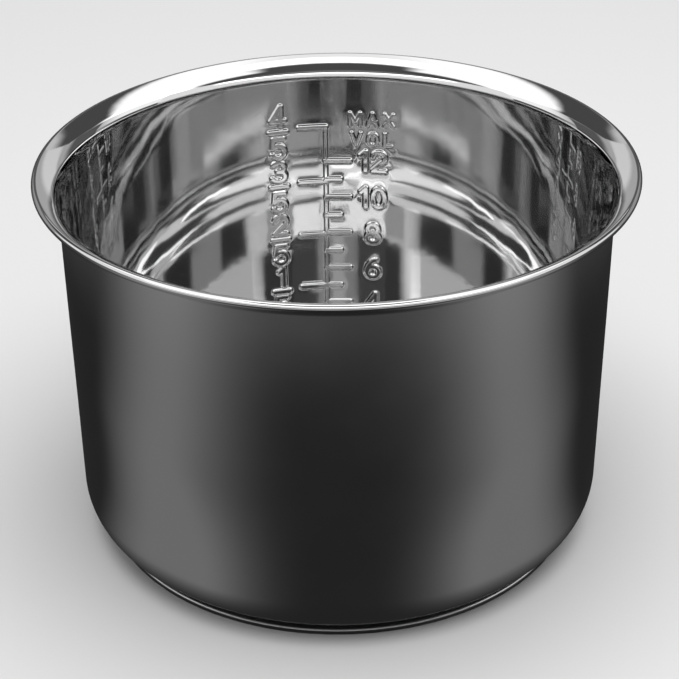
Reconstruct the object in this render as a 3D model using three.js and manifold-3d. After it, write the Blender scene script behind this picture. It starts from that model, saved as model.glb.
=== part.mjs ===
// Removable inner pot of a 6 litre electric pressure cooker, in millimetres, +Z up.
// The origin is the centre of the face that the pot stands on.
//
// The pot is three pieces: a deep-drawn stainless steel shell with a rolled rim and a
// pressed volume scale, an aluminium disc under its floor that spreads the heat, and a
// magnetic stainless steel cap that encloses the disc.

import * as THREE from "three";
import { mergeVertices } from "three/addons/utils/BufferGeometryUtils.js";
import Module from "manifold-3d";

// Driving dimensions
const POT_HEIGHT = 158;
const RIM_RADIUS = 120;
const WALL_RADIUS_TOP = 110.4;
const WALL_RADIUS_BOTTOM = 108.9;
const SHEET = 0.8;
const CORNER_RADIUS = 19.5;

// Rolled rim: the wall flares out over a crowned flange into a small open curl
const CURL_RADIUS = 1.6;
const CURL_END_ANGLE = 225;
const FLARE_RADIUS = 8;
const FLANGE_SLOPE_INNER = 38;
const FLANGE_SLOPE_OUTER = 22.5;

// Sandwich base, from the standing face up to the shell's underside
const JOINT_GAP = 0.3;
const CAP_SHEET = 0.5;
const CAP_RADIUS = 99.2;
const CAP_HEIGHT = 2.7;
const CAP_EDGE_RADIUS = 1;
const CAP_LIP_RADIUS = 95;
const DISC_THICKNESS = 1.5;
const SHELL_UNDERSIDE = CAP_SHEET + JOINT_GAP + DISC_THICKNESS + JOINT_GAP;

// Volume scale pressed into the wall at +Y: cups to the right, fifths to the left
const CUP_STEP = 9.1;
const CUPS = [4, 5, 6, 7, 8, 9, 10, 11, 12];
const FIFTH_STEP = 27;
const FIFTH_ORIGIN = 18;
const FIFTHS = [1, 2, 3, 4];
const SCALE_LINE_X = -5;
const SCALE_LINE_FOOT = 30;
const FIFTH_TICK = 12;
const EVEN_CUP_TICK = 11;
const ODD_CUP_TICK = 6.6;
const STROKE_WIDTH = 1.6;
const RELIEF = 0.35;

// Mesh fineness
const TURNS = 64;
const CORNER_STEPS = 8;
const FLARE_STEPS = 5;
const FLANGE_STEPS = 3;
const CURL_STEPS = 11;
const EDGE_STEPS = 4;
const STROKE_END_STEPS = 3;

const wasm = await Module();
wasm.setup();

const radians = THREE.MathUtils.degToRad;

// Points on an arc in the (radius, height) plane. An angle is in degrees from +Z
// towards +R, so on a convex surface it is also the direction of the normal.
function arc(centreR, centreZ, radius, from, to, steps) {
  const points = [];
  for (let i = 0; i <= steps; i += 1) {
    const angle = radians(from + ((to - from) * i) / steps);
    points.push([centreR + radius * Math.sin(angle), centreZ + radius * Math.cos(angle)]);
  }
  return points;
}

// A body of revolution about Z. The profile starts and ends on the axis, or closes on
// itself, with the material on its left.
function turned(profile) {
  const points = profile.map(([r, z]) => new THREE.Vector2(r, z));
  return new THREE.LatheGeometry(points, TURNS).rotateX(Math.PI / 2);
}

function solidOf(geometry) {
  const bare = geometry.clone();
  bare.deleteAttribute("normal");
  bare.deleteAttribute("uv");
  const merged = mergeVertices(bare, 1e-4);
  return new wasm.Manifold(
    new wasm.Mesh({
      numProp: 3,
      vertProperties: merged.attributes.position.array,
      triVerts: new Uint32Array(merged.index.array),
    }),
  );
}

function geometryOf(solid) {
  const mesh = solid.getMesh();
  const geometry = new THREE.BufferGeometry();
  geometry.setAttribute("position", new THREE.BufferAttribute(mesh.vertProperties, 3));
  geometry.setIndex(new THREE.BufferAttribute(mesh.triVerts, 1));
  return geometry.toNonIndexed();
}

function piece(name, geometry, color, roughness) {
  geometry.computeVertexNormals();
  const material = new THREE.MeshStandardMaterial({ color, roughness, metalness: 1 });
  const mesh = new THREE.Mesh(geometry, material);
  mesh.name = name;
  return mesh;
}

// Centres and radii of the arcs that make the rim. Each arc meets the next at one slope,
// and the flare ends where the wall starts.
function rimArcs() {
  const curlR = RIM_RADIUS - CURL_RADIUS;
  const curlZ = POT_HEIGHT - CURL_RADIUS;
  const outerSlope = radians(FLANGE_SLOPE_OUTER);
  const innerSlope = radians(FLANGE_SLOPE_INNER);
  const flangeOuterR = curlR - CURL_RADIUS * Math.sin(outerSlope);
  const flangeOuterZ = curlZ + CURL_RADIUS * Math.cos(outerSlope);
  const flareR = WALL_RADIUS_TOP - SHEET + FLARE_RADIUS;
  const flangeInnerR = flareR - FLARE_RADIUS * Math.sin(innerSlope);
  const crownRadius =
    (flangeOuterR - flangeInnerR) / (Math.sin(innerSlope) - Math.sin(outerSlope));
  const crownR = flangeOuterR + crownRadius * Math.sin(outerSlope);
  const crownZ = flangeOuterZ - crownRadius * Math.cos(outerSlope);
  const flareZ = crownZ + (crownRadius - FLARE_RADIUS) * Math.cos(innerSlope);
  return { curlR, curlZ, crownR, crownZ, crownRadius, flareR, flareZ };
}

// One face of the shell's sheet, from the curl's free edge down to the floor's centre.
// The depth is 0 on the face that holds the food and SHEET on the outer face.
function shellFace(depth) {
  const rim = rimArcs();
  const cornerR = WALL_RADIUS_BOTTOM - CORNER_RADIUS;
  const cornerZ = SHELL_UNDERSIDE + CORNER_RADIUS;
  const cornerRadius = CORNER_RADIUS - SHEET + depth;

  return [
    ...arc(
      rim.curlR,
      rim.curlZ,
      CURL_RADIUS - depth,
      CURL_END_ANGLE,
      -FLANGE_SLOPE_OUTER,
      CURL_STEPS,
    ),
    ...arc(
      rim.crownR,
      rim.crownZ,
      rim.crownRadius - depth,
      -FLANGE_SLOPE_OUTER,
      -FLANGE_SLOPE_INNER,
      FLANGE_STEPS,
    ).slice(1),
    ...arc(
      rim.flareR,
      rim.flareZ,
      FLARE_RADIUS - depth,
      -FLANGE_SLOPE_INNER,
      -90,
      FLARE_STEPS,
    ).slice(1),
    ...arc(cornerR, cornerZ, cornerRadius, 90, 180, CORNER_STEPS),
    [0, cornerZ - cornerRadius],
  ];
}

// The wall's outer radius at a height, between the corner and the flare.
function wallRadius(z) {
  const foot = SHELL_UNDERSIDE + CORNER_RADIUS;
  const share = (z - foot) / (rimArcs().flareZ - foot);
  return WALL_RADIUS_BOTTOM + (WALL_RADIUS_TOP - WALL_RADIUS_BOTTOM) * share;
}

// A thin ring that follows the wall between two offsets from its outer face.
function wallRing(inner, outer) {
  const foot = SHELL_UNDERSIDE + CORNER_RADIUS;
  const head = rimArcs().flareZ - FLARE_RADIUS;
  return solidOf(
    turned([
      [wallRadius(foot) + inner, foot],
      [wallRadius(foot) + outer, foot],
      [wallRadius(head) + outer, head],
      [wallRadius(head) + inner, head],
      [wallRadius(foot) + inner, foot],
    ]),
  );
}

// A straight round-ended stroke of the scale, cut radially through the wall at +Y.
function stroke(x1, z1, x2, z2) {
  const length = Math.hypot(x2 - x1, z2 - z1);
  const half = STROKE_WIDTH / 2;
  const outline = new THREE.Shape();
  for (let i = 0; i <= STROKE_END_STEPS; i += 1) {
    const angle = -Math.PI / 2 + (Math.PI * i) / STROKE_END_STEPS;
    outline.lineTo(length + half * Math.cos(angle), half * Math.sin(angle));
  }
  for (let i = 0; i <= STROKE_END_STEPS; i += 1) {
    const angle = Math.PI / 2 + (Math.PI * i) / STROKE_END_STEPS;
    outline.lineTo(half * Math.cos(angle), half * Math.sin(angle));
  }
  const reach = RIM_RADIUS - CAP_LIP_RADIUS;
  const bar = new THREE.ExtrudeGeometry(outline, { depth: reach, bevelEnabled: false });
  bar.rotateZ(Math.atan2(z2 - z1, x2 - x1));
  bar.translate(x1, z1, 0);
  bar.rotateX(Math.PI / 2);
  bar.translate(0, RIM_RADIUS, 0);
  return solidOf(bar);
}

function scaleStrokes() {
  const fifthHeights = FIFTHS.map((fifth) => FIFTH_ORIGIN + FIFTH_STEP * fifth);
  const lineTop = Math.max(...fifthHeights);
  const strokes = [stroke(SCALE_LINE_X, SCALE_LINE_FOOT, SCALE_LINE_X, lineTop)];
  for (const z of fifthHeights) {
    strokes.push(stroke(SCALE_LINE_X - FIFTH_TICK, z, SCALE_LINE_X, z));
  }
  for (const cup of CUPS) {
    const z = CUP_STEP * cup;
    const tick = cup % 2 === 0 ? EVEN_CUP_TICK : ODD_CUP_TICK;
    strokes.push(stroke(SCALE_LINE_X, z, SCALE_LINE_X + tick, z));
  }
  return strokes.reduce((all, one) => all.add(one));
}

// The drawn shell. The scale is pressed in from outside, so each stroke is a groove in
// the outer face and a rib on the inner one.
function potBody() {
  const shell = solidOf(turned([...shellFace(SHEET).reverse(), ...shellFace(0)]));
  const strokes = scaleStrokes();
  const ribs = wallRing(-SHEET - RELIEF, -SHEET / 2).intersect(strokes);
  const grooves = wallRing(-RELIEF, SHEET).intersect(strokes);
  return geometryOf(shell.add(ribs).subtract(grooves));
}

// The aluminium disc, stepped down at its edge to pass under the cap's lip.
function heatSpreader() {
  const foot = CAP_SHEET + JOINT_GAP;
  const head = foot + DISC_THICKNESS;
  const step = CAP_HEIGHT - CAP_SHEET - JOINT_GAP;
  const edge = CAP_RADIUS - CAP_SHEET - JOINT_GAP;
  const centre = CAP_LIP_RADIUS - JOINT_GAP;
  return turned([
    [0, foot],
    [edge - CAP_EDGE_RADIUS, foot],
    [edge, foot + CAP_EDGE_RADIUS / 2],
    [edge, step],
    [centre, step],
    [centre, head],
    [0, head],
  ]);
}

// The cap: a shallow dish whose lip is turned in over the disc's edge.
function baseCap() {
  const edgeR = CAP_RADIUS - CAP_EDGE_RADIUS;
  const inside = CAP_EDGE_RADIUS - CAP_SHEET;
  const topZ = CAP_HEIGHT - CAP_EDGE_RADIUS;
  return turned([
    [0, 0],
    ...arc(edgeR, CAP_EDGE_RADIUS, CAP_EDGE_RADIUS, 180, 90, EDGE_STEPS),
    ...arc(edgeR, topZ, CAP_EDGE_RADIUS, 90, 0, EDGE_STEPS),
    [CAP_LIP_RADIUS, CAP_HEIGHT],
    [CAP_LIP_RADIUS, CAP_HEIGHT - CAP_SHEET],
    ...arc(edgeR, topZ, inside, 0, 90, EDGE_STEPS),
    ...arc(edgeR, CAP_EDGE_RADIUS, inside, 90, 180, EDGE_STEPS),
    [0, CAP_SHEET],
  ]);
}

const pot = new THREE.Group();
pot.add(piece("pot_body", potBody(), 0xb9babb, 0.12));
pot.add(piece("heat_spreader", heatSpreader(), 0xc9cacc, 0.45));
pot.add(piece("base_cap", baseCap(), 0xa4a5a7, 0.3));

export default pot;
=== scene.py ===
import math

import bpy
import numpy as np
from mathutils import Matrix, Vector
from mathutils.geometry import delaunay_2d_cdt


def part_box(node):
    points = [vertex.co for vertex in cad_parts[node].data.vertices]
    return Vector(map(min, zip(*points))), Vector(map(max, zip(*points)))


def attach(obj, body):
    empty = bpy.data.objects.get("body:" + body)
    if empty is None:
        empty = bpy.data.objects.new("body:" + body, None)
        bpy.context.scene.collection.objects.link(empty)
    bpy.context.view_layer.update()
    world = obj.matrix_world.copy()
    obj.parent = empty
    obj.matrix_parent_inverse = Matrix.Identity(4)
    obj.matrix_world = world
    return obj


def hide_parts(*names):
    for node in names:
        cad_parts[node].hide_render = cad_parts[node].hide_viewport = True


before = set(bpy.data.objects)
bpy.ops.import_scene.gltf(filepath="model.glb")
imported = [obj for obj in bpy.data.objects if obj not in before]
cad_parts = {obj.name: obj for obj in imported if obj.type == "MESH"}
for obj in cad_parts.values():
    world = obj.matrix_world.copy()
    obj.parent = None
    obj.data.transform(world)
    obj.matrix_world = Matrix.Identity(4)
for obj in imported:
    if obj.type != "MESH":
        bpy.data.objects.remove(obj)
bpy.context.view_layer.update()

MM = 0.001

# Sizes that the frame gives
SHELL_LOW, SHELL_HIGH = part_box("pot_body")
CAP_LOW, CAP_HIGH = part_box("base_cap")
RIM_RADIUS = SHELL_HIGH[0] / MM
POT_HEIGHT = SHELL_HIGH[2] / MM
SHELL_UNDERSIDE = SHELL_LOW[2] / MM
CAP_RADIUS = CAP_HIGH[0] / MM
CAP_HEIGHT = CAP_HIGH[2] / MM

# Sizes that the frame's boxes don't give, as in the CAD source
WALL_RADIUS_TOP = 110.4
WALL_RADIUS_BOTTOM = 108.9
SHEET = 0.8
CORNER_RADIUS = 19.5
CURL_RADIUS = 1.6
CURL_END_ANGLE = 225
FLARE_RADIUS = 8
FLANGE_SLOPE_INNER = 38
FLANGE_SLOPE_OUTER = 22.5
CAP_SHEET = 0.5
CAP_EDGE_RADIUS = 1
CAP_LIP_RADIUS = 95

# Volume scale: heights above the standing face, and places along the wall from +Y
CUP_STEP = 9.1
CUPS = range(4, 13)
FIFTH_STEP = 27
FIFTH_ORIGIN = 18
FIFTHS = range(1, 5)
SCALE_LINE = -5
SCALE_LINE_FOOT = 30
FIFTH_TICK = 12
EVEN_CUP_TICK = 11
ODD_CUP_TICK = 6.6
NUMERAL_PLACE = 16.8
FRACTION_PLACE = -26.9
NUMERAL_HEIGHT = 9.2
LETTER_HEIGHT = 5.8
CHARACTER_GAP = 3.4
WORD_PLACE = NUMERAL_PLACE - 0.6
WORD_FEED = 9.6
FRACTION_BAR = 7.5
FRACTION_GAP = 3.1
FRACTION_DROP = 1.3

# Cross-section of a pressed stroke: half-width of its crest and of its foot, and height
BROAD_STROKE = (0.7, 1.95, 0.62)
LETTER_STROKE = (0.45, 1.35, 0.5)
LINE_STROKE = (0.45, 1.4, 0.5)
# Low swell of the sheet round the strokes
SKIRT_RISE = 0.04
SKIRT_REACH = 2
SKIRT_LIMIT = 3 * SKIRT_REACH

# Slow waves that deep drawing leaves in the wall
WAVE_SEED = 12
WAVE_COUNTS = (2, 3, 5, 8, 11, 14, 19, 23, 29, 37, 43, 53, 61, 71)
WAVE_RISE = 0.05
WAVE_KNEE = 3
WAVE_FALL = 1.25
WAVE_DRIFTS = (8, 30)
WAVE_SWAY = 0.7
WAVE_FOOT_FADE = 30
WAVE_HEAD_FADE = 10

# Mesh fineness: points on a turn, rows of the wall, steps of the profiles' arcs
TURNS = 320
WALL_ROWS = 12
CURL_STEPS = 26
CROWN_STEPS = 5
FLARE_STEPS = 14
CORNER_STEPS = 24
FLOOR_RINGS = 9
CAP_RINGS = 10
CAP_HUB_RADIUS = 8
CAP_EDGE_STEPS = 8
CAP_INSIDE_STEPS = 6
BOW_STEP = 12

# The patch that carries the scale: its rows and columns, and how far apart its points are
SCALE_BAND = (26, 142)
SCALE_COLUMNS = (-17, 14)
INNER_PITCH = 0.38
OUTER_PITCH = 0.52
MEDIUM_PITCH = 1.1
COARSE_PITCH = 4
FINE_REACH = 0.3
MEDIUM_REACH = 4.2
MEDIUM_GAP = 0.5
COARSE_GAP = 1
ROW_RATIO = 0.866
SLOPE_STEP = 0.02
MERGE_DISTANCE = 1e-6

# Texture scales on the steel: polishing lines round it, streaks along it, and smudges
LINE_SCALE = (18, 18, 5200)
STREAK_SCALE = (130, 130, 9)
SMUDGE_SCALE = 28.0
SMUDGE_SPAN = (0.35, 0.7)

# Camera, fitted to the outlines of the rim, the wall and the foot
CAMERA_SENSOR = 36
CAMERA_LENS = 100.23
CAMERA_CLIP = (0.01, 50)
CAMERA_PLACE = (0.0005, -0.6853, 0.4662)
CAMERA_DIP = 29.6
CAMERA_ROLL = -0.59

# Stage, in metres; the cards are seen by the steel alone
BACKDROP = 0.72
PAPER = 0.62
FLOOR_HALF = 8
FLOOR_FADE = (0.5, 3.0)
FLOOR_CARD_DROP = 0.0004
CARD_POINTS = 33
FRONT_CARD_RADIUS = 0.25
FRONT_CARD_SPAN = (0.175, 0.34)
FRONT_CARD_TURNS = (-95, 95)
BACK_CARD_RADIUS = 0.3
BACK_CARD_SPAN = (0.16, 0.31)
BACK_CARD_TURNS = (134, 226)
KEY_PLACE = (0.1, -0.2, 1.6)
KEY_SIZE = 1.5
KEY_WATTS = 24


# ---------------------------------------------------------------- profiles


def arc(centre, radius, start, end, steps, facing=1):
    """Points and normals on an arc; angles in degrees from +Z towards +R."""
    angles = np.radians(np.linspace(start, end, steps + 1))
    ray = np.stack([np.sin(angles), np.cos(angles)], axis=1)
    return np.hstack([np.array(centre) + radius * ray, facing * ray])


def rim_arcs():
    """The crown's centre and radius, and the flare's centre."""
    sin_in, cos_in = fixed_slope(FLANGE_SLOPE_INNER)
    sin_out, cos_out = fixed_slope(FLANGE_SLOPE_OUTER)
    flange_outer = CURL + CURL_RADIUS * np.array([-sin_out, cos_out])
    flare_r = WALL_RADIUS_TOP - SHEET + FLARE_RADIUS
    crown_radius = (flange_outer[0] - flare_r + FLARE_RADIUS * sin_in) / (sin_in - sin_out)
    crown = flange_outer + crown_radius * np.array([sin_out, -cos_out])
    flare = np.array([flare_r, crown[1] + (crown_radius - FLARE_RADIUS) * cos_in])
    return crown, crown_radius, flare


def fixed_slope(degrees):
    return math.sin(math.radians(degrees)), math.cos(math.radians(degrees))


CURL = np.array([RIM_RADIUS - CURL_RADIUS, POT_HEIGHT - CURL_RADIUS])
CORNER = np.array([WALL_RADIUS_BOTTOM - CORNER_RADIUS, SHELL_UNDERSIDE + CORNER_RADIUS])
CROWN, CROWN_RADIUS, FLARE = rim_arcs()


def shell_face(depth):
    """One face of the sheet from the curl's free edge down to the floor's centre.

    The depth is 0 for the face inside the pot, and the sheet's thickness for the other.
    Returns the points above the wall and those below it, as rows of r, z and normal.
    """
    out = 1 if depth == 0 else -1
    outer, inner = -FLANGE_SLOPE_OUTER, -FLANGE_SLOPE_INNER
    above = np.vstack(
        [
            arc(CURL, CURL_RADIUS - depth, CURL_END_ANGLE, outer, CURL_STEPS, out),
            arc(CROWN, CROWN_RADIUS - depth, outer, inner, CROWN_STEPS, out)[1:],
            arc(FLARE, FLARE_RADIUS - depth, inner, -90, FLARE_STEPS, out)[1:],
        ]
    )
    corner_radius = CORNER_RADIUS - SHEET + depth
    floor_z = CORNER[1] - corner_radius
    floor = [[r, floor_z, 0, out] for r in np.linspace(CORNER[0], 0, FLOOR_RINGS)[1:]]
    below = np.vstack([arc(CORNER, corner_radius, 90, 180, CORNER_STEPS, -out), floor])
    return above, below


# ---------------------------------------------------------------- volume scale


def bow(centre, radii, start, end):
    """Points on an elliptical bow; angles in degrees, anticlockwise from the right."""
    count = max(2, round(abs(end - start) / BOW_STEP))
    angles = np.radians(np.linspace(start, end, count + 1))
    return [(centre[0] + radii[0] * math.cos(a), centre[1] + radii[1] * math.sin(a)) for a in angles]


# Each character is a width and its strokes, for a height of 1
CHARACTERS = {
    "0": (0.6, [bow((0.3, 0.5), (0.3, 0.5), 0, 360)]),
    "1": (0.24, [[(0, 0.78), (0.24, 1), (0.24, 0)]]),
    "2": (0.62, [bow((0.31, 0.7), (0.31, 0.3), 170, -35) + [(0, 0), (0.62, 0)]]),
    "3": (
        0.62,
        [
            bow((0.28, 0.75), (0.28, 0.25), 150, -90),
            bow((0.28, 0.26), (0.34, 0.26), 90, -150),
        ],
    ),
    "4": (0.66, [[(0.48, 0), (0.48, 1), (0, 0.27), (0.66, 0.27)]]),
    "5": (
        0.62,
        [[(0.56, 1), (0.08, 1), (0.03, 0.52)] + bow((0.29, 0.32), (0.33, 0.32), 125, -150)],
    ),
    "6": (
        0.62,
        [bow((0.31, 0.3), (0.31, 0.3), 0, 360), bow((0.6, 0.3), (0.6, 0.7), 178, 104)],
    ),
    "8": (
        0.62,
        [bow((0.31, 0.76), (0.26, 0.24), 0, 360), bow((0.31, 0.27), (0.31, 0.27), 0, 360)],
    ),
    "M": (0.8, [[(0, 0), (0, 1), (0.4, 0.3), (0.8, 1), (0.8, 0)]]),
    "A": (0.76, [[(0, 0), (0.38, 1), (0.76, 0)], [(0.14, 0.34), (0.62, 0.34)]]),
    "X": (0.68, [[(0, 0), (0.68, 1)], [(0, 1), (0.68, 0)]]),
    "V": (0.72, [[(0, 1), (0.36, 0), (0.72, 1)]]),
    "O": (0.74, [bow((0.37, 0.5), (0.37, 0.5), 0, 360)]),
    "L": (0.54, [[(0, 1), (0, 0), (0.54, 0)]]),
}


def written(text, place, foot, height):
    """Strokes of a line of characters, centred on a place along the wall."""
    width = sum(CHARACTERS[c][0] * height for c in text) + CHARACTER_GAP * (len(text) - 1)
    strokes = []
    left = place - width / 2
    for c in text:
        advance, shapes = CHARACTERS[c]
        strokes += [[(left + x * height, foot + y * height) for x, y in s] for s in shapes]
        left += advance * height + CHARACTER_GAP
    return strokes


def scale_groups():
    """The scale's strokes as (cross-section, list of polylines)."""
    fifths = [FIFTH_ORIGIN + FIFTH_STEP * k for k in FIFTHS]
    broad = []
    for k, z in zip(FIFTHS, fifths):
        broad.append([(SCALE_LINE - FIFTH_TICK, z), (SCALE_LINE, z)])
        half, bar = FRACTION_BAR / 2, z - FRACTION_DROP
        broad.append([(FRACTION_PLACE - half, bar), (FRACTION_PLACE + half, bar)])
        broad += written(str(k), FRACTION_PLACE, bar + FRACTION_GAP, NUMERAL_HEIGHT)
        foot = bar - FRACTION_GAP - NUMERAL_HEIGHT
        broad += written("5", FRACTION_PLACE, foot, NUMERAL_HEIGHT)
    for cup in CUPS:
        z = CUP_STEP * cup
        tick = ODD_CUP_TICK if cup % 2 else EVEN_CUP_TICK
        broad.append([(SCALE_LINE, z), (SCALE_LINE + tick, z)])
        if cup % 2 == 0:
            broad += written(str(cup), NUMERAL_PLACE, z - NUMERAL_HEIGHT / 2, NUMERAL_HEIGHT)
    lower_word = CUP_STEP * CUPS[-1] + NUMERAL_HEIGHT / 2 + CHARACTER_GAP
    letters = written("VOL", WORD_PLACE, lower_word, LETTER_HEIGHT)
    letters += written("MAX", WORD_PLACE, lower_word + WORD_FEED, LETTER_HEIGHT)
    line = [[(SCALE_LINE, SCALE_LINE_FOOT), (SCALE_LINE, fifths[-1])]]
    return [(BROAD_STROKE, broad), (LETTER_STROKE, letters), (LINE_STROKE, line)]


def distance_to(polyline, points):
    """Distance of each point to the nearest place on a polyline."""
    nearest = np.full(len(points), np.inf)
    for start, end in zip(polyline[:-1], polyline[1:]):
        a, ab = np.array(start), np.subtract(end, start)
        share = np.clip((points - a) @ ab / (ab @ ab), 0, 1)
        nearest = np.minimum(nearest, np.hypot(*(points - a - share[:, None] * ab).T))
    return nearest


GROUPS = scale_groups()


def relief(points):
    """Height of the pressed scale, in mm, at places (along the wall, above the floor)."""
    height = np.zeros(len(points))
    skirt = np.ones(len(points))
    for (crest, foot, rise), polylines in GROUPS:
        flat = np.ones(len(points))
        for line in polylines:
            low = np.min(line, axis=0) - SKIRT_LIMIT
            high = np.max(line, axis=0) + SKIRT_LIMIT
            near = np.all((points > low) & (points < high), axis=1)
            away = distance_to(line, points[near]) - crest
            fall = np.clip(away / (foot - crest), 0, 1)
            flat[near] *= 0.5 - 0.5 * np.cos(math.pi * fall)
            skirt[near] *= 1 - np.exp(-((np.maximum(away, 0) / SKIRT_REACH) ** 2))
        height = np.maximum(height, rise * (1 - flat))
    return height + SKIRT_RISE * (1 - skirt)


def stroke_distance(points):
    """Distance of each point to the foot of the nearest pressed stroke, negative inside."""
    nearest = np.full(len(points), np.inf)
    for (_, foot, _), polylines in GROUPS:
        for line in polylines:
            nearest = np.minimum(nearest, distance_to(line, points) - foot)
    return nearest


# ---------------------------------------------------------------- pot body


def draw_waves():
    """Waves to a turn, rise in mm, two phases and drift up the wall, for each wave."""
    dice = np.random.default_rng(WAVE_SEED)
    waves = []
    for count in WAVE_COUNTS:
        rise = WAVE_RISE / (1 + count / WAVE_KNEE) ** WAVE_FALL
        phases = dice.uniform(0, 2 * math.pi, 2)
        waves.append((count, rise, *phases, dice.uniform(*WAVE_DRIFTS)))
    return waves


WAVES = draw_waves()
# The places that the scale may push, and the heights that the waves may
RELIEF_LOW, RELIEF_HIGH = (-44, 12), (40, 148)
WAVE_FOOT, WAVE_HEAD = CORNER[1] - CORNER_RADIUS / 2, FLARE[1]


def wall_radius(z):
    """Radius of the wall's outer face, which is drawn with a slight taper."""
    share = (z - CORNER[1]) / (FLARE[1] - CORNER[1])
    return WALL_RADIUS_BOTTOM + (WALL_RADIUS_TOP - WALL_RADIUS_BOTTOM) * share


def wall_push(theta, z):
    """Outward shift of the wall, in mm: the slow waves less the pressed scale."""
    foot = np.clip((z - WAVE_FOOT) / WAVE_FOOT_FADE, 0, 1)
    head = np.clip((WAVE_HEAD - z) / WAVE_HEAD_FADE, 0, 1)
    rise = foot * head
    fade = rise * rise * (3 - 2 * rise)
    push = np.zeros_like(theta)
    for count, height, phase, tilt, drift in WAVES:
        push += height * np.cos(count * theta + phase + np.sin(z / drift + tilt) * WAVE_SWAY)
    push *= fade
    turned = (theta + math.pi) % (2 * math.pi) - math.pi
    places = np.stack([turned * (WALL_RADIUS_TOP - SHEET), z], axis=1)
    inside = np.all((places > RELIEF_LOW) & (places < RELIEF_HIGH), axis=1)
    push[inside] -= relief(places[inside])
    return push


class Shell:
    """Collects vertices with their normals, and faces, for one closed mesh."""

    def __init__(self):
        self.points, self.normals, self.faces, self.finishes = [], [], [], []
        self.count = 0
        self.finish = 0

    def add(self, points, normals):
        """Returns the new vertices' numbers."""
        first = self.count
        self.points.append(points)
        self.normals.append(normals)
        self.count += len(points)
        return np.arange(first, self.count)

    def ring(self, r, z, normal_r, normal_z):
        """A whole turn of points, from +Y towards +X."""
        theta = 2 * math.pi * np.arange(TURNS) / TURNS
        return self.place(theta, np.full(TURNS, r), np.full(TURNS, z), normal_r, normal_z)

    def place(self, theta, r, z, normal_r, normal_z):
        """Points at an angle from +Y towards +X, pushed by the wall's waves and scale."""
        span = (z > WAVE_FOOT) & (z < WAVE_HEAD)
        push, along, up = np.zeros_like(theta), np.zeros_like(theta), np.zeros_like(theta)
        if span.any():
            t, h, step = theta[span], z[span], SLOPE_STEP
            push[span] = wall_push(t, h)
            turn = step / WALL_RADIUS_TOP
            along[span] = (wall_push(t + turn, h) - wall_push(t - turn, h)) / (2 * step)
            up[span] = (wall_push(t, h + step) - wall_push(t, h - step)) / (2 * step)
        side = np.sign(normal_r)
        sin, cos = np.sin(theta), np.cos(theta)
        radius = r + push
        points = np.stack([radius * sin, radius * cos, z], axis=1) * MM
        normal_t = -side * along
        normal_up = normal_z - side * up
        normals = np.stack(
            [normal_r * sin + normal_t * cos, normal_r * cos - normal_t * sin, normal_up], axis=1
        )
        return self.add(points, normals / np.linalg.norm(normals, axis=1, keepdims=True))

    def face(self, *corners):
        self.faces.append(tuple(int(corner) for corner in corners))
        self.finishes.append(self.finish)

    def strip(self, one, two, skip=()):
        """Quads between two rings."""
        for i in range(TURNS):
            if i not in skip:
                j = (i + 1) % TURNS
                self.face(one[i], one[j], two[j], two[i])

    def fan(self, ring, centre):
        """Triangles between a ring and a point."""
        for i in range(TURNS):
            self.face(ring[i], ring[(i + 1) % TURNS], centre)


def hexagonal(low, high, pitch):
    """A lattice of equal triangles' corners, inside a rectangle."""
    rows = np.arange(low[1] + pitch / 2, high[1] - pitch / 3, pitch * ROW_RATIO)
    points = []
    for k, z in enumerate(rows):
        start = low[0] + pitch * (0.5 if k % 2 else 1)
        xs = np.arange(start, high[0] - pitch / 3, pitch)
        points.append(np.stack([xs, np.full(len(xs), z)], axis=1))
    return np.vstack(points)


def patch_points(low, high, pitch):
    """Places inside the scale's patch: close together on the strokes, sparse elsewhere."""
    coarse = hexagonal(low, high, COARSE_PITCH)
    medium = hexagonal(low, high, MEDIUM_PITCH)
    fine = hexagonal(low, high, pitch)
    coarse = coarse[stroke_distance(coarse) > MEDIUM_REACH + COARSE_GAP]
    away = stroke_distance(medium)
    medium = medium[(away > FINE_REACH + MEDIUM_GAP) & (away < MEDIUM_REACH)]
    fine = fine[stroke_distance(fine) < FINE_REACH]
    return np.vstack([coarse, medium, fine])


def scale_patch(shell, rings, rows, side, offset, pitch):
    """Fills the patch between the wall's rings with triangles that follow the scale."""
    first, last = SCALE_COLUMNS
    reach = WALL_RADIUS_TOP - SHEET
    columns = [c % TURNS for c in range(first, last + 1)]
    width = 2 * math.pi / TURNS * reach
    edge, known = [], []
    for c, column in zip(range(first, last + 1), columns):
        edge.append((c * width, rows[0]))
        known.append(rings[0][column])
    for k in range(1, len(rows) - 1):
        edge.append((last * width, rows[k]))
        known.append(rings[k][columns[-1]])
    for c, column in zip(range(last, first - 1, -1), reversed(columns)):
        edge.append((c * width, rows[-1]))
        known.append(rings[-1][column])
    for k in range(len(rows) - 2, 0, -1):
        edge.append((first * width, rows[k]))
        known.append(rings[k][columns[0]])
    low, high = np.min(edge, axis=0), np.max(edge, axis=0)
    inner = patch_points(low, high, pitch)
    flat = [Vector(p) for p in np.vstack([edge, inner])]
    loop = [(i, (i + 1) % len(edge)) for i in range(len(edge))]
    _, _, triangles, origins, _, _ = delaunay_2d_cdt(flat, loop, [], 0, MERGE_DISTANCE)
    z = inner[:, 1]
    r = wall_radius(z) + offset
    made = shell.place(inner[:, 0] / reach, r, z, side, 0)
    index = np.concatenate([known, made])
    for triangle in triangles:
        shell.face(*(index[origins[v][0]] for v in triangle))


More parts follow.
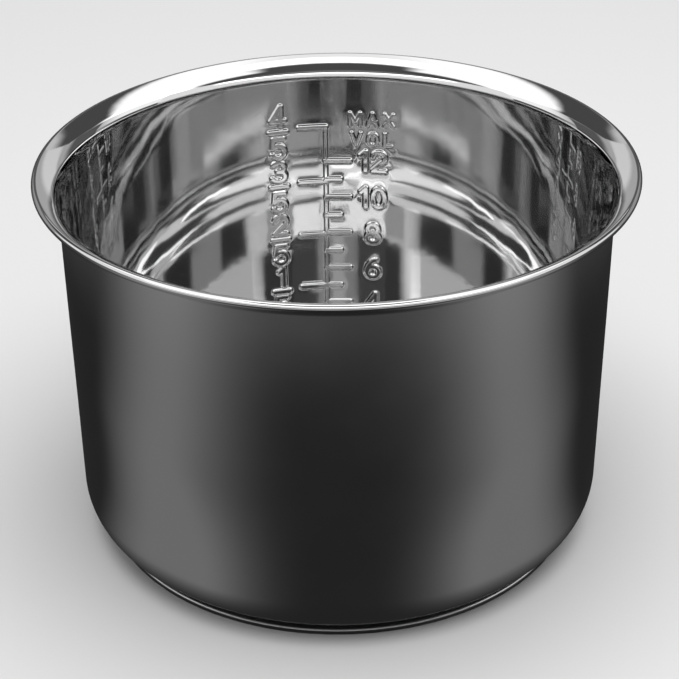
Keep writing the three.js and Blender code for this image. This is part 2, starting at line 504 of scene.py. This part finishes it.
def wall_face(shell, top_ring, foot_ring, side, offset, pitch):
    """The wall between the flare and the corner, with the scale's patch let in."""
    rows = np.linspace(*SCALE_BAND, WALL_ROWS + 1)
    rings = [shell.ring(wall_radius(z) + offset, z, side, 0) for z in rows]
    first, last = SCALE_COLUMNS
    gap = {c % TURNS for c in range(first, last)}
    shell.strip(foot_ring, rings[0])
    for lower, upper in zip(rings[:-1], rings[1:]):
        shell.strip(lower, upper, gap)
    shell.strip(rings[-1], top_ring)
    scale_patch(shell, rings, rows, side, offset, pitch)


def linked(name, data):
    """A new object, linked into the scene."""
    piece = bpy.data.objects.new(name, data)
    bpy.context.collection.objects.link(piece)
    return piece


def mesh_object(name, shell, *materials):
    """The shell as an object, with every face turned outwards and its own normals."""
    points, normals = np.vstack(shell.points), np.vstack(shell.normals)
    first = np.array([face[:3] for face in shell.faces])
    a, b, c = points[first[:, 0]], points[first[:, 1]], points[first[:, 2]]
    outward = np.einsum("ij,ij->i", np.cross(b - a, c - a), normals[first].sum(axis=1))
    facing = [face if up > 0 else face[::-1] for face, up in zip(shell.faces, outward)]
    mesh = bpy.data.meshes.new(name)
    mesh.from_pydata(points.tolist(), [], facing)
    mesh.shade_smooth()
    mesh.normals_split_custom_set_from_vertices(normals.tolist())
    for material in materials:
        mesh.materials.append(material)
    mesh.polygons.foreach_set("material_index", shell.finishes)
    return linked(name, mesh)


def pot_shell(mirror, satin):
    """The shell's inner face, outer face and the curl's free edge, as one closed mesh."""
    shell = Shell()
    ends = []
    for depth, side, pitch in ((0, -1, INNER_PITCH), (SHEET, 1, OUTER_PITCH)):
        above, below = shell_face(depth)
        upper = [shell.ring(*row) for row in above]
        lower = [shell.ring(*row) for row in below[:-1]]
        for rings in (upper, lower):
            for one, two in zip(rings[:-1], rings[1:]):
                shell.strip(one, two)
        wall_face(shell, upper[-1], lower[0], side, depth - SHEET, pitch)
        _, z, _, normal_z = below[-1]
        centre = shell.add(np.array([[0, 0, z * MM]]), np.array([[0, 0, normal_z]]))
        shell.fan(lower[-1], centre[0])
        ends.append(upper[0])
        shell.finish = 1
    shell.strip(*ends)
    return mesh_object("pot_shell", shell, mirror, satin)


# ---------------------------------------------------------------- base cap


def cap_shell(material):
    """The pressed cap under the base: a flat dish whose edge turns in over the disc."""
    shell = Shell()
    edge = CAP_RADIUS - CAP_EDGE_RADIUS
    top = CAP_HEIGHT - CAP_EDGE_RADIUS
    hollow = CAP_EDGE_RADIUS - CAP_SHEET
    lip = (CAP_LIP_RADIUS, CAP_HEIGHT - CAP_SHEET / 2)
    outer = [[r, 0, 0, -1] for r in np.linspace(CAP_HUB_RADIUS, edge, CAP_RINGS)[:-1]]
    inner = [[r, CAP_SHEET, 0, 1] for r in np.linspace(edge, CAP_HUB_RADIUS, CAP_RINGS)[1:]]
    profile = np.vstack(
        [
            outer,
            arc((edge, CAP_EDGE_RADIUS), CAP_EDGE_RADIUS, 180, 90, CAP_EDGE_STEPS),
            arc((edge, top), CAP_EDGE_RADIUS, 90, 0, CAP_EDGE_STEPS),
            arc(lip, CAP_SHEET / 2, 0, -180, CAP_INSIDE_STEPS),
            arc((edge, top), hollow, 0, 90, CAP_INSIDE_STEPS, -1),
            arc((edge, CAP_EDGE_RADIUS), hollow, 90, 180, CAP_INSIDE_STEPS, -1),
            inner,
        ]
    )
    rings = [shell.ring(*row) for row in profile]
    for one, two in zip(rings[:-1], rings[1:]):
        shell.strip(one, two)
    for ring, z, up in ((rings[0], 0, -1), (rings[-1], CAP_SHEET, 1)):
        centre = shell.add(np.array([[0, 0, z * MM]]), np.array([[0, 0, up]]))
        shell.fan(ring, centre[0])
    return mesh_object("base_cap_shell", shell, material)


# ---------------------------------------------------------------- materials


class Nodes:
    """A short way to write a material's node tree."""

    def __init__(self, tree):
        self.tree = tree

    def add(self, kind, settings=None, **inputs):
        """A node with its inputs set or linked, each by its name or as i and its number."""
        node = self.tree.nodes.new(kind)
        for key, value in (settings or {}).items():
            setattr(node, key, value)
        for key, value in inputs.items():
            numbered = key[0] == "i" and key[1:].isdigit()
            socket = node.inputs[int(key[1:]) if numbered else key]
            if isinstance(value, bpy.types.NodeSocket):
                self.tree.links.new(value, socket)
            else:
                socket.default_value = value
        return node


def remap(n, value, span, result, interpolation):
    """A value whose span is carried over to the result's span, and held beyond it."""
    node = n.add("ShaderNodeMapRange", {"interpolation_type": interpolation}, Value=value)
    ends = zip(("From Min", "From Max", "To Min", "To Max"), (*span, *result))
    for socket, end in ends:
        node.inputs[socket].default_value = end
    return node.outputs[0]


def steel(name, colour, roughness, streak, polish):
    """Bare metal with polishing lines round it, draw streaks along it and faint smudges."""
    material = bpy.data.materials.new(name)
    material.use_nodes = True
    n = Nodes(material.node_tree)
    surface = material.node_tree.nodes["Principled BSDF"]
    surface.inputs["Metallic"].default_value = 1
    surface.inputs["Base Color"].default_value = (*colour, 1)
    place = n.add("ShaderNodeTexCoord").outputs["Object"]
    around = n.add("ShaderNodeMapping", i0=place, i3=LINE_SCALE)
    along = n.add("ShaderNodeMapping", i0=place, i3=STREAK_SCALE)
    lines = n.add("ShaderNodeTexNoise", i0=around.outputs[0], Scale=1.0, Detail=3.0)
    streaks = n.add("ShaderNodeTexNoise", i0=along.outputs[0], Scale=1.0, Detail=1.0)
    smudge = n.add("ShaderNodeTexNoise", i0=place, Scale=SMUDGE_SCALE, Detail=4.0)
    level = remap(n, smudge.outputs[0], SMUDGE_SPAN, roughness, "LINEAR")
    material.node_tree.links.new(level, surface.inputs["Roughness"])
    first = n.add("ShaderNodeBump", Strength=1.0, Distance=streak, Height=streaks.outputs[0])
    second = n.add(
        "ShaderNodeBump",
        Strength=1.0,
        Distance=polish,
        Height=lines.outputs[0],
        Normal=first.outputs[0],
    )
    material.node_tree.links.new(second.outputs[0], surface.inputs["Normal"])
    return material


# ---------------------------------------------------------------- camera and stage


def grey(level):
    """A grey's four colour values."""
    return (level, level, level, 1)


def camera():
    """The photo's view: level with X, looking down along +Y, and rolled a little."""
    data = bpy.data.cameras.new("camera")
    data.sensor_width = CAMERA_SENSOR
    data.lens = CAMERA_LENS
    data.clip_start, data.clip_end = CAMERA_CLIP
    piece = linked("camera", data)
    tilt = Matrix.Rotation(math.radians(90 - CAMERA_DIP), 4, "X")
    roll = Matrix.Rotation(math.radians(CAMERA_ROLL), 4, "Z")
    piece.matrix_world = Matrix.Translation(CAMERA_PLACE) @ tilt @ roll
    bpy.context.scene.camera = piece


def stage_mesh(name, points, faces, material):
    """An object of the stage, which isn't part of the pot."""
    mesh = bpy.data.meshes.new(name)
    mesh.from_pydata(points, [], faces)
    mesh.materials.append(material)
    piece = linked(name, mesh)
    return piece


def plane(name, z, material):
    """A level square, centred under the pot."""
    signs = ((-1, -1), (1, -1), (1, 1), (-1, 1))
    corners = [(x * FLOOR_HALF, y * FLOOR_HALF, z) for x, y in signs]
    return stage_mesh(name, corners, [(0, 1, 2, 3)], material)


def bent_card(name, radius, span, turns, material):
    """A strip bent round the pot above its rim; turns are in degrees from -Y towards +X."""
    angles = np.radians(np.linspace(*turns, CARD_POINTS))
    points = []
    for z in span:
        points += [(radius * math.sin(a), -radius * math.cos(a), z) for a in angles]
    last = CARD_POINTS - 1
    faces = [(i, i + 1, i + 1 + CARD_POINTS, i + CARD_POINTS) for i in range(last)]
    return stage_mesh(name, points, faces, material)


def mirrored_only(piece):
    """Leaves the piece to be seen in the steel, and nowhere else."""
    piece.visible_camera = piece.visible_diffuse = piece.visible_shadow = False


def key_light():
    """A wide soft light overhead, for the floor and its shadow; the steel doesn't mirror it."""
    data = bpy.data.lights.new("key", "AREA")
    data.shape = "RECTANGLE"
    data.size = data.size_y = KEY_SIZE
    data.energy = KEY_WATTS
    piece = linked("key", data)
    aim = (-Vector(KEY_PLACE)).to_track_quat("-Z", "Y")
    piece.matrix_world = Matrix.Translation(KEY_PLACE) @ aim.to_matrix().to_4x4()
    piece.visible_camera = piece.visible_glossy = False


def ramp(n, value, start, end):
    """0 before the start and 1 after the end, smooth between; the end may be the lower."""
    return remap(n, value, (start, end), (0, 1), "SMOOTHSTEP")


def pale_floor():
    """Matt paper that fades far off into the backdrop's grey."""
    material = bpy.data.materials.new("floor_paper")
    material.use_nodes = True
    material.node_tree.nodes.clear()
    n = Nodes(material.node_tree)
    place = n.add("ShaderNodeTexCoord").outputs["Object"]
    reach = n.add("ShaderNodeVectorMath", {"operation": "LENGTH"}, i0=place).outputs["Value"]
    paper = n.add("ShaderNodeBsdfDiffuse", Color=grey(PAPER))
    far = n.add("ShaderNodeEmission", Color=grey(BACKDROP), Strength=1.0)
    fade = ramp(n, reach, *FLOOR_FADE)
    mix = n.add("ShaderNodeMixShader", i0=fade, i1=paper.outputs[0], i2=far.outputs[0])
    n.add("ShaderNodeOutputMaterial", Surface=mix.outputs[0])
    return material


def glow(name, build):
    """A white light of a strength that the builder function gives."""
    material = bpy.data.materials.new(name)
    material.use_nodes = True
    material.node_tree.nodes.clear()
    n = Nodes(material.node_tree)
    light = n.add("ShaderNodeEmission", Color=grey(1), Strength=build(n))
    n.add("ShaderNodeOutputMaterial", Surface=light.outputs[0])
    return material


def maths(n, operation, *values):
    """The outcome of a sum on sockets and numbers."""
    inputs = {f"i{i}": value for i, value in enumerate(values)}
    return n.add("ShaderNodeMath", {"operation": operation}, **inputs).outputs[0]


def total(n, base, patches):
    """A base brightness plus patches, each a brightness and the ramps that bound it."""
    level = base
    for brightness, *bounds in patches:
        patch = brightness
        for bound in bounds:
            patch = maths(n, "MULTIPLY", patch, bound)
        level = maths(n, "ADD", level, patch)
    return level


def floor_glow(n):
    """A painted reflection of the floor for the steel to mirror: painted shadow near the pot,
    painted light paler beside it and far in front.
    """
    place = n.add("ShaderNodeTexCoord").outputs["Object"]
    unit = n.add("ShaderNodeVectorMath", {"operation": "NORMALIZE"}, i0=place).outputs[0]
    reach = n.add("ShaderNodeVectorMath", {"operation": "LENGTH"}, i0=place).outputs["Value"]
    back = n.add("ShaderNodeSeparateXYZ", i0=unit).outputs[1]
    turn = maths(n, "ADD", back, 1.0)
    near = ramp(n, reach, 0.22, 0.1)
    rise = maths(n, "MULTIPLY", turn, maths(n, "MULTIPLY_ADD", near, 1.8, 1.0))
    fall = maths(n, "MULTIPLY", turn, maths(n, "MULTIPLY_ADD", near, 0.4, 1.0))
    return total(
        n,
        0.022,
        [
            # All of the floor that isn't near; the darker floor near the pot is painted shadow
            (0.05, ramp(n, reach, 0.27, 0.42)),
            # Two fans of painted light, left and right of the front
            (
                0.19,
                ramp(n, rise, 0.0, 0.5),
                ramp(n, fall, 1.2, 0.55),
                ramp(n, reach, 0.095, 0.138),
            ),
            # A painted pool of light far in front
            (0.6, ramp(n, reach, 0.42, 0.7), ramp(n, reach, 1.8, 0.9), ramp(n, back, -0.2, -0.8)),
        ],
    )


def front_glow(n):
    """The card in front of the pot, brightest along the middle of its upper edge."""
    place = n.add("ShaderNodeTexCoord").outputs["Object"]
    across, _, height = n.add("ShaderNodeSeparateXYZ", i0=place).outputs
    side = maths(n, "ABSOLUTE", across)
    upper_edge = (1.9, ramp(n, height, 0.282, 0.292), ramp(n, side, 0.232, 0.215))
    return total(n, 1.0, [upper_edge])


def back_glow(n):
    """The card behind the pot, which pales towards its middle."""
    place = n.add("ShaderNodeTexCoord").outputs["Object"]
    across, back, height = n.add("ShaderNodeSeparateXYZ", i0=place).outputs
    slant = maths(n, "DIVIDE", maths(n, "ABSOLUTE", across), back)
    pale = total(n, 0.12, [(0.36, ramp(n, slant, 0.45, 0.25)), (0.3, ramp(n, slant, 0.18, 0.09))])
    lift = maths(n, "MULTIPLY_ADD", ramp(n, height, 0.165, 0.2), 0.75, 0.25)
    return maths(n, "MULTIPLY", pale, lift)


def studio_glow(n):
    """The studio as the steel mirrors it, by direction.

    The softboxes and the bridge lie on a level ceiling: out is how far to the side a
    direction meets it, and behind how far back, both as shares of the ceiling's height.
    Clear is how far out that is beyond the bridge's slanted edge. Offset is the distance to
    the side of a line just left of the middle, where the side panels are centred.
    """
    toward = n.add("ShaderNodeTexCoord").outputs["Generated"]
    unit = n.add("ShaderNodeVectorMath", {"operation": "NORMALIZE"}, i0=toward).outputs[0]
    across, back, up = n.add("ShaderNodeSeparateXYZ", i0=unit).outputs
    side = maths(n, "ABSOLUTE", across)
    depth = maths(n, "ABSOLUTE", back)
    above = maths(n, "MAXIMUM", up, 0.001)
    out = maths(n, "DIVIDE", side, above)
    behind = maths(n, "DIVIDE", back, above)
    clear = maths(n, "MULTIPLY_ADD", behind, 0.38, out)
    offset = maths(n, "ABSOLUTE", maths(n, "ADD", across, 0.04))
    slant = maths(n, "DIVIDE", side, maths(n, "MAXIMUM", back, 0.001))
    above_walls = ramp(n, up, 0.42, 0.44)
    bridge = maths(n, "MULTIPLY_ADD", ramp(n, behind, 0.27, 0.18), 1.3, 1.05)
    walls = maths(n, "MULTIPLY_ADD", ramp(n, back, 0.55, 0.15), 0.85, 0.3)
    return total(
        n,
        0.08,
        [
            # Two softboxes overhead, left and right
            (
                1.35,
                ramp(n, clear, 0.2, 0.36),
                ramp(n, out, 1.9, 1.6),
                ramp(n, behind, -0.65, -0.45),
                ramp(n, behind, 0.8, 0.6),
            ),
            # The bridge that joins them, from above the pot to behind it
            (
                bridge,
                ramp(n, clear, 0.36, 0.2),
                ramp(n, behind, -0.1, 0.0),
                ramp(n, out, 0.5, 0.3),
                ramp(n, behind, 1.6, 1.35),
            ),
            # A pale column further back
            (0.6, ramp(n, slant, 0.55, 0.3), ramp(n, behind, 1.35, 1.6), above_walls),
            # Pale walls low all round, palest at the sides and in front
            (walls, ramp(n, up, 0.14, 0.22), ramp(n, up, 0.44, 0.42)),
            # Panels at the sides
            (
                1.6,
                above_walls,
                ramp(n, up, 0.8, 0.65),
                ramp(n, offset, 0.76, 0.86),
                ramp(n, back, -0.5, -0.3),
            ),
            # A dim panel in front
            (0.15, above_walls, ramp(n, behind, -1.05, -1.25), ramp(n, back, -0.3, -0.5)),
            # Soft lights near the horizon, at the four corners
            (0.4, ramp(n, up, 0.22, 0.08), ramp(n, side, 0.5, 0.8), ramp(n, depth, 0.15, 0.45)),
        ],
    )


def studio():
    """A plain grey backdrop, with the studio's lights in it for the steel to mirror."""
    world = bpy.data.worlds.new("studio")
    bpy.context.scene.world = world
    world.use_nodes = True
    world.node_tree.nodes.clear()
    n = Nodes(world.node_tree)
    glossy = n.add("ShaderNodeLightPath").outputs["Is Glossy Ray"]
    seen = n.add("ShaderNodeBackground", Color=grey(BACKDROP), Strength=1.0)
    mirrored = n.add("ShaderNodeBackground", Color=grey(1), Strength=studio_glow(n))
    mix = n.add("ShaderNodeMixShader", i0=glossy, i1=seen.outputs[0], i2=mirrored.outputs[0])
    n.add("ShaderNodeOutputWorld", Surface=mix.outputs[0])


def stage():
    floor = plane("floor", 0, pale_floor())
    floor.visible_glossy = False
    # A card that only the steel sees: it glows as a painted reflection of the floor, with painted
    # shadow round the pot and painted pools of light beside and in front
    mirrored_only(plane("floor_card", -FLOOR_CARD_DROP, glow("painted_floor_reflection_glow", floor_glow)))
    front = glow("front_card_glow", front_glow)
    back = glow("back_card_glow", back_glow)
    for card in (
        bent_card("front_card", FRONT_CARD_RADIUS, FRONT_CARD_SPAN, FRONT_CARD_TURNS, front),
        bent_card("back_card", BACK_CARD_RADIUS, BACK_CARD_SPAN, BACK_CARD_TURNS, back),
    ):
        mirrored_only(card)
    key_light()
    studio()
    scene = bpy.context.scene
    scene.cycles.max_bounces = 24
    scene.cycles.glossy_bounces = 20
    scene.cycles.caustics_reflective = False
    scene.cycles.use_denoising = True
    scene.view_settings.view_transform = "Standard"


# ---------------------------------------------------------------- assembly

camera()

MIRROR = steel("mirror_steel", (0.7, 0.7, 0.7), (0.035, 0.05), 0.00002, 0.0000001)
SATIN = steel("satin_steel", (0.66, 0.66, 0.66), (0.13, 0.19), 0.00001, 0.000002)
# The cap's steel has its own rougher spun finish, and a colour darker than the pot's steel: painted
# shade on the base under the pot, which also dims the highlight on its edge
SPUN_WITH_PAINTED_SHADE = steel("spun_steel_with_painted_shade", (0.34, 0.34, 0.34), (0.28, 0.36), 0.000004, 0.000004)
ALUMINIUM = steel("rolled_aluminium", (0.78, 0.785, 0.8), (0.35, 0.5), 0.00001, 0.00001)

pot = pot_shell(MIRROR, SATIN)
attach(pot, "root")
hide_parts("pot_body")

cap = cap_shell(SPUN_WITH_PAINTED_SHADE)
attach(cap, "root")
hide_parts("base_cap")

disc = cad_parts["heat_spreader"]
disc.data.materials.clear()
disc.data.materials.append(ALUMINIUM)

stage()
